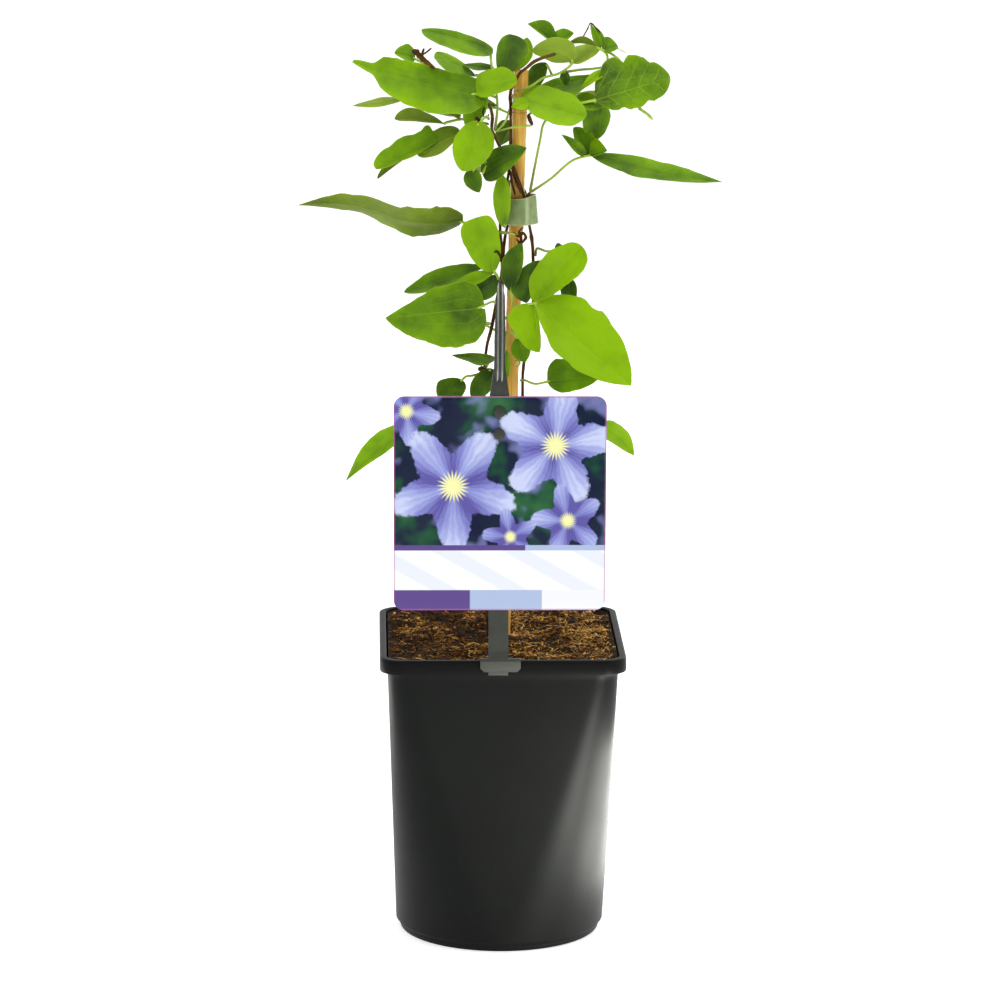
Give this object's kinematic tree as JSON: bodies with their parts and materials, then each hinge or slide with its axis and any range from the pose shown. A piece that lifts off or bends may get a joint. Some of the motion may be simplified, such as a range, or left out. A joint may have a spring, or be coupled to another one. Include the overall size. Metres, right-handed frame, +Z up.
{
  "type": "potted clematis on a cane",
  "caption": "Young clematis with broad pointed leaves led up a bamboo cane, growing in a black square-rimmed nursery pot with a card label on a clip-on stake.",
  "frame": {"origin": "middle of the pot's underside, on the surface that it stands on", "axes": "+Z up, -Y towards the label, +X to the right as the label is read"},
  "size_m": [0.2236, 0.134, 0.4907],
  "materials": {
    "pot": "thin black moulded plastic with a soft sheen",
    "soil": "dark fibrous potting compost",
    "cane": "dry bamboo with a satin skin",
    "band": "grey-green sheet plastic",
    "label": "printed card under a glossy film",
    "stake": "dark grey-green moulded plastic",
    "tongue": "clear ribbed plastic",
    "stem": "thin brown vine stem",
    "leaf": "fresh green leaf with pale veins"
  },
  "bodies": {
    "root": {"pot": "pot", "soil": "soil", "cane": "cane", "cane_band": "band", "label_panel": "label", "label_stake": "stake", "stake_tongue": "tongue", "stem_main": "stem", "stem_right": "stem", "stem_left": "stem", "stem_back": "stem", "spray_top_left": "leaf", "spray_top_centre": "leaf", "spray_crown": "leaf", "spray_right": "leaf", "spray_front_high": "leaf", "spray_left_high": "leaf", "spray_left_far": "leaf", "spray_left_mid": "leaf", "spray_left_big": "leaf", "spray_left_low": "leaf", "spray_right_mid": "leaf", "spray_right_back": "leaf", "spray_right_low": "leaf", "spray_cane_low": "leaf", "spray_band": "leaf", "spray_centre": "leaf", "spray_centre_low": "leaf", "spray_left_behind": "leaf", "spray_low_left": "leaf", "spray_low_right": "leaf", "spray_back_left": "leaf", "spray_back_right": "leaf", "spray_back_middle": "leaf", "spray_back_low_left": "leaf", "spray_back_low_right": "leaf", "spray_back_foot": "leaf"}
  },
  "joints": []
}
